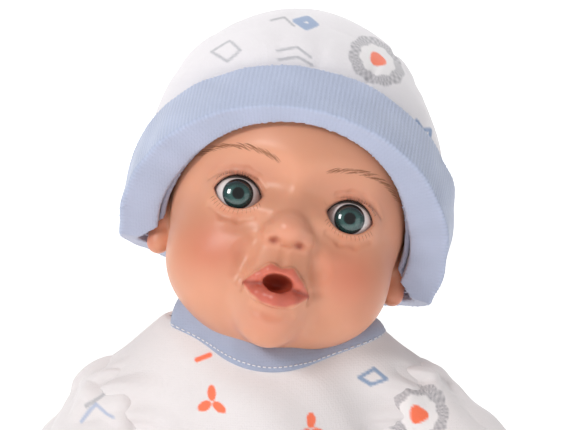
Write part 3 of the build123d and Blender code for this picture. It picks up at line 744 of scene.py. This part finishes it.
def hug(points):
    """How far in the hat's inside has to come to rest on the head, near its rim."""
    rel = points - np.array(HAT_CENTRE) / MM
    along = rel @ np.array(hat_axis)
    radial = rel - along[:, None] * np.array(hat_axis)
    way = radial / np.maximum(np.linalg.norm(radial, axis=1), 1)[:, None]
    inside = points - radial + way * HAT_INSIDE
    height, spots = above_rim(points)
    near_rim = (1 - step_between(height, 16, 42)) * (1 - step_between(spots[:, 1], 24, 54))
    reach = np.zeros(len(points))
    for _ in range(3):
        reach += np.clip(head_gap(inside - way * reach[:, None]) - 0.9, 0, 6)
    return way, np.clip(reach, 0, 11) * near_rim


hat = cad_copy("hat_crown", 0.75)
p = points_of(hat) / MM
way, reach = hug(p)
p = p - way * reach[:, None]
away = out_from(p, HAT_CENTRE / MM)
local = np.stack(to_head(*p.T), -1)
high = step_between(local[:, 2], 34, 74)
fold = 1.5 * waves(local * np.array([1.0, 1.0, 0.7]), 48, 11, 9) + 1.3
creases = np.abs(waves(local * np.array([1.1, 0.9, 0.55]), 40, 12, 8))
fold -= 1.1 * np.exp(-(creases / 0.16) ** 2)
roll = math.radians(HEAD_ROLL)
rel = p - np.array(HAT_CENTRE) / MM
bearing = np.degrees(np.arctan2(rel[:, 0] * math.sin(roll) + rel[:, 2] * math.cos(roll),
                                rel[:, 0] * math.cos(roll) - rel[:, 2] * math.sin(roll)))
height, _ = above_rim(p)
slouch = 6.5 * np.exp(-((bearing - 128) / 34) ** 2) + 6.0 * np.exp(-((bearing - 84) / 34) ** 2)
slouch *= step_between(height, 18, 36)
move_points(hat, (p + away * (np.clip(fold, 0, 4) * (0.25 + 0.75 * high) + slouch)[:, None]) * MM)
local = np.stack(to_head(*(points_of(hat) / MM).T), -1)
tones = np.tile(linear("#ebe7ea"), (len(p), 1))
facing = (away[:, 1] < 0.25).astype(float)
height, _ = above_rim(p)
tones = mix(tones, linear("#a8b0c8"), 1 - step_between(height, 15, 17))
hx, hz = local[:, 0], local[:, 2]
tones = print_flower(tones, hx - 20, hz - 66, 11.5, facing)
patch = [(-14, 74), (-10, 77), (-7, 74.5), (-10, 71.5), (-14, 74)]
tones = print_line(tones, hx, hz, patch, 1.6, "#7f9cc4", facing, 0.8)
tones = print_line(tones, hx, hz, [(-24, 72), (-19, 75), (-15, 71)], 0.5, "#8a8d93", facing)
kite = [(-44, 55), (-38, 60), (-33, 56), (-37, 51), (-44, 55)]
tones = print_line(tones, hx, hz, kite, 0.5, "#9a9ca3", facing)
tones = print_line(tones, hx, hz, [(-19, 58), (-12, 61), (-6, 58)], 0.5, "#9a9ca3", facing)
tones = print_line(tones, hx, hz, [(-18, 54.5), (-11, 57), (-5, 55)], 0.5, "#9a9ca3", facing)
bow = [(44, 44), (40.5, 46.5), (40.5, 41.5), (44, 44), (47.5, 46.5), (47.5, 41.5), (44, 44)]
tones = print_line(tones, hx, hz, bow, 0.8, "#5f86b8", facing, 0.8)
for k in range(16):                                     # sparse prints round the sides and back
    a = 2 * math.pi * (k * 0.381966) + 0.9
    lift = 0.15 + 0.75 * ((k * 0.55) % 1)
    axis_u = Vector((1, 0, 0)) - hat_axis * hat_axis.x
    axis_u.normalize()
    axis_v = hat_axis.cross(axis_u)
    way = np.array(hat_axis * math.sin(lift) + (axis_u * math.cos(a) + axis_v * math.sin(a)) * math.cos(lift))
    if way[1] < 0.3:
        continue
    side_u = np.cross(way, np.array(hat_axis))
    side_u /= np.linalg.norm(side_u)
    side_v = np.cross(side_u, way)
    flat = (p - np.array(HAT_CENTRE) / MM)
    u, v = flat @ side_u, flat @ side_v
    mask = ((flat @ way) > 20).astype(float)
    if k % 3 == 0:
        tones = print_flower(tones, u, v, 8.5, mask)
    elif k % 3 == 1:
        tones = print_drops(tones, u, v, "#ff6a33", mask)
    else:
        tones = print_line(tones, u, v, [(-5, 0), (0, 4), (5, 0), (0, -4), (-5, 0)], 0.6, "#7f9cc4", mask)
paint(hat, tones)
finish_piece(hat, "hat", jersey)


CUFF_BLUE = "#b2bbd3"


def ribbed(node, centre, axis, colour, ribs, depth, puff):
    """A knitted band with ribs that run across it."""
    piece = cad_copy(node, 0.55)
    p = points_of(piece) / MM
    axis = Vector(axis).normalized()
    u = Vector((1, 0, 0)) - axis * axis.x
    u.normalize()
    v = axis.cross(u)
    rel = p - np.array(centre) / MM
    a = np.arctan2(rel @ np.array(v), rel @ np.array(u))
    along = rel @ np.array(axis)
    radial = rel - along[:, None] * np.array(axis)
    radius = np.linalg.norm(radial, axis=1)
    way = radial / radius[:, None]
    normal = normals_of(piece)
    outer = step_between(np.einsum("ij,ij->i", normal, way), -0.1, 0.4)
    shift = outer * depth * (0.5 + 0.5 * np.cos(a * ribs + 0.25 * waves(p, 9, 5)))
    shift += outer * 0.35 * waves(p, 22, 6)
    shift = shift + puff * outer
    move_points(piece, (p + normal * shift[:, None]) * MM)
    tone = np.tile(linear(colour), (len(p), 1))
    # painted shade: rib crests lighter and the grooves between them darker; the waves on the next line are
    # the knit's own uneven tone
    tone *= (0.93 + 0.10 * (0.5 + 0.5 * np.cos(a * ribs)) * outer)[:, None]
    tone *= (1 + 0.03 * waves(p, 14, 8))[:, None]
    return piece, tone


cuff, tone = ribbed("hat_cuff", HAT_CENTRE, hat_axis, "#b3bcd4", 230, 0.22, 0.4)
p = points_of(cuff) / MM
way, reach = hug(p)
rel = p - np.array(HAT_CENTRE) / MM
radius = np.linalg.norm(rel - (rel @ np.array(hat_axis))[:, None] * np.array(hat_axis), axis=1)
share = 1 - 0.9 * step_between(radius, 60.8, 66.5)
move_points(cuff, (p - way * (reach * share)[:, None]) * MM)
paint(cuff, tone)
finish_piece(cuff, "hat", rib)

# --- romper ------------------------------------------------------------------------------
TORSO = (                                               # centres and radii of the body, mm
    ((0, 0, 34), (58.6, 45.6, 45.6)),
    ((0, -3, 66), (49.6, 42.6, 42.6)),
    ((0, 0, 98), (46.6, 40.6, 40.6)),
)
bodice = Clay((-76, -62, -3), (76, 62, 172), 0.7)
for centre, radii in TORSO:
    bodice.add(oval(centre, radii), 8)
bodice.add(oval((0, -1, 118), (45, 37, 38)), 9)
for s in (-1, 1):
    bodice.add(bar((s * 30, 0, 139), (s * 50, 0, 122), 19.5, 19), 12)
    bodice.add(bar((s * 30, -28, 26), (s * 31, -30, 25), 25, 25), 8)


def neckline(x, y):
    """Height of the romper's neck edge round the neck."""
    rho = np.hypot(x, y) + 1e-6
    ahead = -y / rho
    return 153.5 - 13.5 * np.clip(ahead, 0, 1) ** 1.6 + 3 * np.clip(-ahead, 0, 1) - 2.6 * x / rho


gx, gy, gz = bodice.axes
gx, gy, gz = gx[:, None, None], gy[None, :, None], gz[None, None, :]
bodice.field = np.maximum(bodice.field, 0.2 - gz)
bodice.field = np.abs(bodice.field + 0.8) - 0.8
bodice.field = np.maximum(bodice.field, gz - neckline(gx, gy)).astype(np.float32)
for s in (-1, 1):
    bodice.cut(ball((s * 58, 0, 117), 17.6), 0.8)
    bodice.cut(bar((s * 29, -34, 24.5), (s * 45, -78, 21), 23.4, 20), 0.8)
romper = bodice.mesh("romper_body_look", 3)
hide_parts("romper_body")
p = points_of(romper) / MM
centre_line = np.stack([0 * p[:, 0], 0 * p[:, 0], p[:, 2]], -1)
away = p - centre_line
away /= np.maximum(np.linalg.norm(away, axis=1), 1)[:, None]
sides = step_between(np.abs(p[:, 0]), 18, 42)
fold = 1.5 * waves(p * np.array([1.2, 1.0, 0.6]), 30, 21, 10)
armhole = np.zeros(len(p))
for s in (-1, 1):
    d = p - np.array([s * 58, 0, 117])
    r = np.linalg.norm(d, axis=1)
    t = np.arctan2(d[:, 1], d[:, 2])
    armhole += 2.1 * np.cos(t * 13 + 0.8 * np.sin(3 * t)) * np.exp(-((r - 20) / 7) ** 2)
crotch = 0.9 * np.cos(np.arctan2(p[:, 0], p[:, 1] + 34) * 11) * np.exp(-((p[:, 2] - 26) / 16) ** 2) * sides
free = step_between(p[:, 2], 4, 14) * (1 - 0.8 * step_between(p[:, 2], 132, 146))
shift = free * np.clip(fold + armhole + crotch + 0.5, -0.2, 3.2)
move_points(romper, (p + away * shift[:, None]) * MM)
tones = np.tile(linear("#e6e0e0"), (len(p), 1))
facing = (away[:, 1] < 0.05).astype(float)
tones = print_drops(tones, p[:, 0] + 20, p[:, 2] - 126, "#ff6a33", facing)
tones = print_line(tones, p[:, 0], p[:, 2], [(-26, 141), (-21, 143)], 0.9, "#ff6a33", facing, 0.9)
kite = [(36, 134), (41, 137), (45, 133), (40, 131), (36, 134)]
tones = print_line(tones, p[:, 0], p[:, 2], kite, 0.7, "#6f8fb5", facing, 0.8)
spots = [(-34, 86), (2, 104), (30, 90), (-12, 66), (34, 58), (-40, 58), (10, 78), (18, 116)]
for back in (1, -1):
    mask = (away[:, 1] * back < -0.05).astype(float)
    for k, (cx, cz) in enumerate(spots):
        u, v = p[:, 0] - cx * back, p[:, 2] - cz
        if k % 3 == 0:
            tones = print_flower(tones, u, v, 7.5, mask)
        elif k % 3 == 1:
            tones = print_drops(tones, u, v, "#ff6a33" if k % 2 else "#6f8fb5", mask)
        else:
            tones = print_line(tones, u, v, [(-5, 0), (0, 4), (5, 0), (0, -4), (-5, 0)], 0.6, "#8a8d93", mask)
paint(romper, tones)
finish_piece(romper, "torso", jersey)

neck_tree = BVHTree.FromObject(romper, bpy.context.evaluated_depsgraph_get())
ROUND, SECTION = 720, 28
edge_rho, edge_low, edge_top = [], [], []
for k in range(ROUND):
    t = 2 * math.pi * k / ROUND
    ux, uy = math.cos(t), math.sin(t)
    low = float(neckline(ux * 38, uy * 38))
    hit, _, _, _ = neck_tree.ray_cast(Vector((0, 0, low - 1.6)) * MM, Vector((ux, uy, 0)), 0.08)
    edge_rho.append(hit.length / MM if hit is not None else 38.0)
    if hit is not None:
        edge_rho[-1] = math.hypot(hit.x, hit.y) / MM
    above, _, _, _ = surface.ray_cast(Vector((ux * 36, uy * 36, 110)) * MM, Vector((0, 0, 1)), 0.12)
    top = low + 10.5
    if above is not None:
        top = min(top, above.z / MM - 0.9)
    edge_low.append(low - 2.6)
    edge_top.append(max(top, low + 3.5))


def evened(values, width):
    kernel = np.hanning(width + 2)[1:-1]
    kernel /= kernel.sum()
    wide = np.concatenate([values[-width:], values, values[:width]])
    return np.convolve(wide, kernel, "same")[width:-width]


edge_rho, edge_low, edge_top = (evened(np.array(v), 61) for v in (edge_rho, edge_low, edge_top))


def collar_point(k, up, out):
    """Point on the band: up is 0 at its lower edge and 1 at its top, out is mm from its middle."""
    t = 2 * math.pi * k / ROUND
    index = int(k) % ROUND
    rho = edge_rho[index] + 2.0 - 3.6 * up + 1.0 * math.sin(math.pi * up) + out
    height = edge_low[index] + (edge_top[index] - edge_low[index]) * up
    return Vector((rho * math.cos(t), rho * math.sin(t), height)) * MM


points, quads = [], []
for k in range(ROUND):
    for m in range(SECTION):
        a = 2 * math.pi * m / SECTION
        ca, sa = math.cos(a), math.sin(a)
        up = 0.5 + 0.5 * math.copysign(abs(sa) ** 0.6, sa)
        out = 1.25 * math.copysign(abs(ca) ** 0.6, ca)
        out += 0.1 * math.cos(k * math.pi) * (ca > 0.2)
        points.append(collar_point(k, up, out))
        n = (m + 1) % SECTION
        nk = (k + 1) % ROUND
        quads.append((k * SECTION + m, nk * SECTION + m, nk * SECTION + n, k * SECTION + n))
collar = new_mesh("collar_band", np.array([tuple(q) for q in points]), np.array(quads))
mottle = waves(np.array([tuple(q) for q in points]) / MM, 12, 9)
tone = np.tile(linear("#a4acc2"), (len(points), 1)) * (1 + 0.04 * mottle)[:, None]
paint(collar, tone)
finish_piece(collar, "torso", rib)
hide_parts("collar_binding")

thread_mat, nodes, links, shader = material("pale_thread", 0.7)
tint = noise(nodes, links, 700)
low, high = (*linear("#dfe2ec"), 1), (*linear("#f4f4f6"), 1)
two_tone(nodes, links, shader, tint, low, high)


lines = []
for k in range(0, ROUND, 7):
    lines.append([(collar_point(k + m, 0.2, 1.42), 0.00026) for m in range(5)])
thread = tubes("collar_stitches", lines, 4)
finish_piece(thread, "torso", thread_mat)

for side, s in LEFT_RIGHT.items():
    arm, leg = f"arm_{side}", f"leg_{side}"
    shoulder = Vector(joints[f"shoulder_{side}"]["pos_m"]) / MM
    sleeve = cad_copy(f"sleeve_{side}", 0.75)
    p = points_of(sleeve) / MM
    low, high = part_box(f"forearm_{side}")
    hand_mid = np.array((low + high) / 2) / MM
    lowc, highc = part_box(f"sleeve_cuff_{side}")
    wrist = np.array((lowc + highc) / 2) / MM
    span = wrist - np.array(shoulder)
    t = np.clip(((p - np.array(shoulder)) @ span) / span.dot(span), 0, 1)
    middle = np.array(shoulder) + t[:, None] * span
    bow = np.array([s * 13.0, 6.0, -6.0]) * (4 * t * (1 - t))[:, None]
    rel = p - middle - bow
    r = np.linalg.norm(rel, axis=1)
    away = rel / np.maximum(r, 3)[:, None]
    around = np.arctan2(rel[:, 2], rel[:, 1])
    gather = 1.9 * np.cos(around * 12 + 0.7 * np.sin(2 * around)) * np.exp(-(t / 0.16) ** 2)
    gather += 0.8 * np.cos(around * 14 + 0.5 * np.sin(3 * around)) * np.exp(-((t - 1) / 0.12) ** 2)
    rings = 2.0 * np.abs(waves(p * np.array([0.6, 1.2, 1.2]), 24, 31 + s, 8))
    free = 1 - step_between(t, 0.93, 0.99)
    shift = np.clip(gather + rings + 0.3, -0.1, 3.4) * free
    move_points(sleeve, (p + away * shift[:, None]) * MM)
    tones = np.tile(linear("#e6e0e0"), (len(p), 1))
    mask = (rel[:, 1] < 4).astype(float)
    sx, _, sz = shoulder
    if s > 0:
        tones = print_flower(tones, p[:, 0] - (sx + 3), p[:, 2] - (sz + 1), 11.0, mask)
        tones = print_drops(tones, p[:, 0] - (sx + 30), p[:, 2] - (sz - 26), "#6f8fb5", mask)
    else:
        peak = [(sx - 14, sz - 2), (sx - 8, sz + 5), (sx - 2, sz)]
        tones = print_line(tones, p[:, 0], p[:, 2], peak, 0.6, "#8fa6cc", mask)
        dash = [(sx - 12, sz + 3), (sx - 5, sz + 9)]
        tones = print_line(tones, p[:, 0], p[:, 2], dash, 0.6, "#9a9ca3", mask)
        tones = print_drops(tones, p[:, 0] - (sx - 22), p[:, 2] - (sz - 24), "#ff6a33", mask)
    paint(sleeve, tones)
    finish_piece(sleeve, arm, jersey)
    cuff_way = Vector(hand_mid - wrist).normalized()
    band, tone = ribbed(f"sleeve_cuff_{side}", Vector(wrist) * MM, cuff_way, CUFF_BLUE, 64, 0.3, 0.2)
    paint(band, tone)
    finish_piece(band, arm, rib)

    trouser = cad_copy(f"trouser_leg_{side}", 0.75)
    p = points_of(trouser) / MM
    low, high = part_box(f"ankle_cuff_{side}")
    ankle = np.array((low + high) / 2) / MM
    hip = np.array(joints[f"hip_{side}"]["pos_m"]) / MM
    span = ankle - hip
    t = np.clip(((p - hip) @ span) / span.dot(span), -0.1, 1)
    rel = p - (hip + t[:, None] * span)
    away = rel / np.maximum(np.linalg.norm(rel, axis=1), 3)[:, None]
    around = np.arctan2(rel[:, 2], rel[:, 0])
    shift = 0.9 * np.cos(around * 13) * np.exp(-((t - 1) / 0.12) ** 2)
    shift += 1.8 * np.abs(waves(p * np.array([1.1, 0.7, 1.1]), 26, 41 + s, 8)) + 0.2
    shift *= (1 - step_between(t, 0.93, 0.99)) * step_between(p[:, 2], 3, 12)
    move_points(trouser, (p + away * np.clip(shift, 0, 3)[:, None]) * MM)
    tones = np.tile(linear("#e6e0e0"), (len(p), 1))
    top = (rel[:, 2] > 2).astype(float)
    along = (p - hip) @ (span / np.linalg.norm(span))
    cross = np.cross(span / np.linalg.norm(span), [0, 0, 1])
    over = (p - hip) @ cross
    tones = print_flower(tones, along - 30, over - 3 * s, 8.5, top)
    tones = print_drops(tones, along - 62, over + 6, "#ff6a33", top)
    tones = print_line(tones, along, over, [(46, -14), (51, -10), (56, -14)], 0.6, "#6f8fb5", top)
    paint(trouser, tones)
    finish_piece(trouser, leg, jersey)
    band, tone = ribbed(f"ankle_cuff_{side}", Vector(ankle) * MM, span, CUFF_BLUE, 76, 0.3, 0.2)
    paint(band, tone)
    finish_piece(band, leg, rib)

    for node, body in ((f"forearm_{side}", arm), (f"lower_leg_{side}", leg)):
        limb = cad_copy(node, 0.45, rounds=5)
        p = points_of(limb) / MM
        tone = np.tile(linear("#e2a388"), (len(p), 1)) * (1 + 0.03 * waves(p, 16, 3))[:, None]
        tips = step_between(np.linalg.norm(p - (wrist if body == arm else ankle), axis=1), 22, 40)
        tone = mix(tone, linear("#d67f68"), 0.4 * tips)
        paint(limb, tone)
        finish_piece(limb, body, vinyl)
    for node, body, fill in ((f"upper_arm_{side}", arm, 0.9), (f"thigh_{side}", leg, 0.9)):
        stuffed = cad_copy(node, 1.4)
        finish_piece(stuffed, body, cotton)

stuffing = cad_copy("torso_stuffing", 1.6)
finish_piece(stuffing, "torso", cotton)
neck = cad_copy("neck_core", 1.2)
finish_piece(neck, "neck", cotton)
cover = cad_copy("torso_cover", 0.8)
finish_piece(cover, "torso", cotton)

# --- remaining CAD nodes ------------------------------------------------------------------
TRADES = {
    "steel": ("#b9bcc0", 0.3, 1.0), "tie": ("#e9e6df", 0.5, 0.0), "snap": ("#dfe3ee", 0.35, 0.0),
    "button_plastic": ("#efe6da", 0.4, 0.0), "module_plastic": ("#ded9d0", 0.42, 0.0),
    "cell": ("#6a7078", 0.35, 0.6), "board": ("#2f6b46", 0.5, 0.0), "component": ("#2b2c2e", 0.5, 0.0),
    "cone": ("#3a3632", 0.8, 0.0), "vinyl": ("#e2a388", 0.45, 0.0), "body_cloth": ("#e9e1db", 0.9, 0.0),
}


def trade_material(name, tone, roughness, metallic):
    mat, nodes, links, shader = material(name, roughness, Metallic=metallic)
    tint = noise(nodes, links, 160, 4)
    low, high = (*(linear(tone) * 0.9), 1), (*np.minimum(linear(tone) * 1.08, 1), 1)
    two_tone(nodes, links, shader, tint, low, high)
    fine = noise(nodes, links, 1500, 2)
    bump(nodes, links, shader, fine.outputs["Fac"], 0.08, 0.0002)
    return mat


MADE_OF = {
    "eye_pin": "steel", "eye_weight": "steel", "screws": "steel", "battery_contacts": "steel",
    "speaker_frame": "steel", "speaker_magnet": "steel",
    "neck_tie": "tie", "arm_tie": "tie", "leg_tie": "tie",
    "back_snaps": "snap", "batteries": "cell", "circuit_board": "board", "board_parts": "component",
    "speaker_cone": "cone", "power_switch": "button_plastic", "tummy_button": "button_plastic",
    "hand_button": "button_plastic",
}
trades = {name: trade_material(f"plain_{name}", *values) for name, values in TRADES.items()}
for name, node in frame["nodes"].items():
    if node.hide_render:
        continue
    kind = MADE_OF.get(name.removesuffix("_left").removesuffix("_right"), "module_plastic")
    node.data.materials.clear()
    node.data.materials.append(trades[kind])

# --- studio --------------------------------------------------------------------------------
floor_mat, nodes, links, shader = material("pale_floor", 0.8)
tint = noise(nodes, links, 3)
low, high = (0.86, 0.86, 0.86, 1), (0.9, 0.9, 0.9, 1)
two_tone(nodes, links, shader, tint, low, high)
shader.inputs["Emission Color"].default_value = (1, 1, 1, 1)
shader.inputs["Emission Strength"].default_value = 0.45
bpy.ops.mesh.primitive_plane_add(size=12, location=(0, 0, -0.0005))
floor = bpy.context.object
floor.name = "studio_floor"
floor.data.materials.append(floor_mat)

world = bpy.data.worlds.new("pale_room")
bpy.context.scene.world = world
world.use_nodes = True
world.node_tree.nodes["Background"].inputs["Color"].default_value = (1.0, 1.0, 1.0, 1)
world.node_tree.nodes["Background"].inputs["Strength"].default_value = 0.32
bpy.context.scene.view_settings.view_transform = "Standard"


def area_light(name, place, target, size, energy, tone=(1, 1, 1)):
    data = bpy.data.lights.new(name, "AREA")
    data.size, data.energy, data.color = size, energy, tone
    lamp = bpy.data.objects.new(name, data)
    bpy.context.scene.collection.objects.link(lamp)
    lamp.location = place
    lamp.rotation_euler = (Vector(target) - Vector(place)).to_track_quat("-Z", "Y").to_euler()


wall_mat, nodes, links, shader = material("white_paper", 0.9)
tint = noise(nodes, links, 0.5)
low, high = (0.97, 0.97, 0.97, 1), (1, 1, 1, 1)
two_tone(nodes, links, shader, tint, low, high, "Emission Color")
shader.inputs["Emission Strength"].default_value = 1.0
bpy.ops.mesh.primitive_plane_add(size=9, location=(0, 3.4, 1.0), rotation=(math.pi / 2, 0, 0))
wall = bpy.context.object
wall.name = "studio_wall"
wall.data.materials.append(wall_mat)
area_light("key", (-0.75, -1.0, 0.85), (0, 0, 0.18), 0.4, 9.5)
area_light("fill", (0.9, -0.9, 0.3), (0, 0, 0.18), 0.6, 0.8)
area_light("top", (0.1, 0.25, 1.1), (0, 0, 0.18), 0.5, 3)

LIFT, AWAY = math.radians(5), 0.85
target = Vector((0.0084, -0.040, 0.1990))
camera_data = bpy.data.cameras.new("camera")
camera_data.sensor_width = 36
camera_data.lens = 166.0 * AWAY
camera = bpy.data.objects.new("camera", camera_data)
bpy.context.scene.collection.objects.link(camera)
camera.location = target + Vector((0, -math.cos(LIFT), math.sin(LIFT))) * AWAY
camera.rotation_euler = (target - camera.location).to_track_quat("-Z", "Y").to_euler()
bpy.context.scene.camera = camera
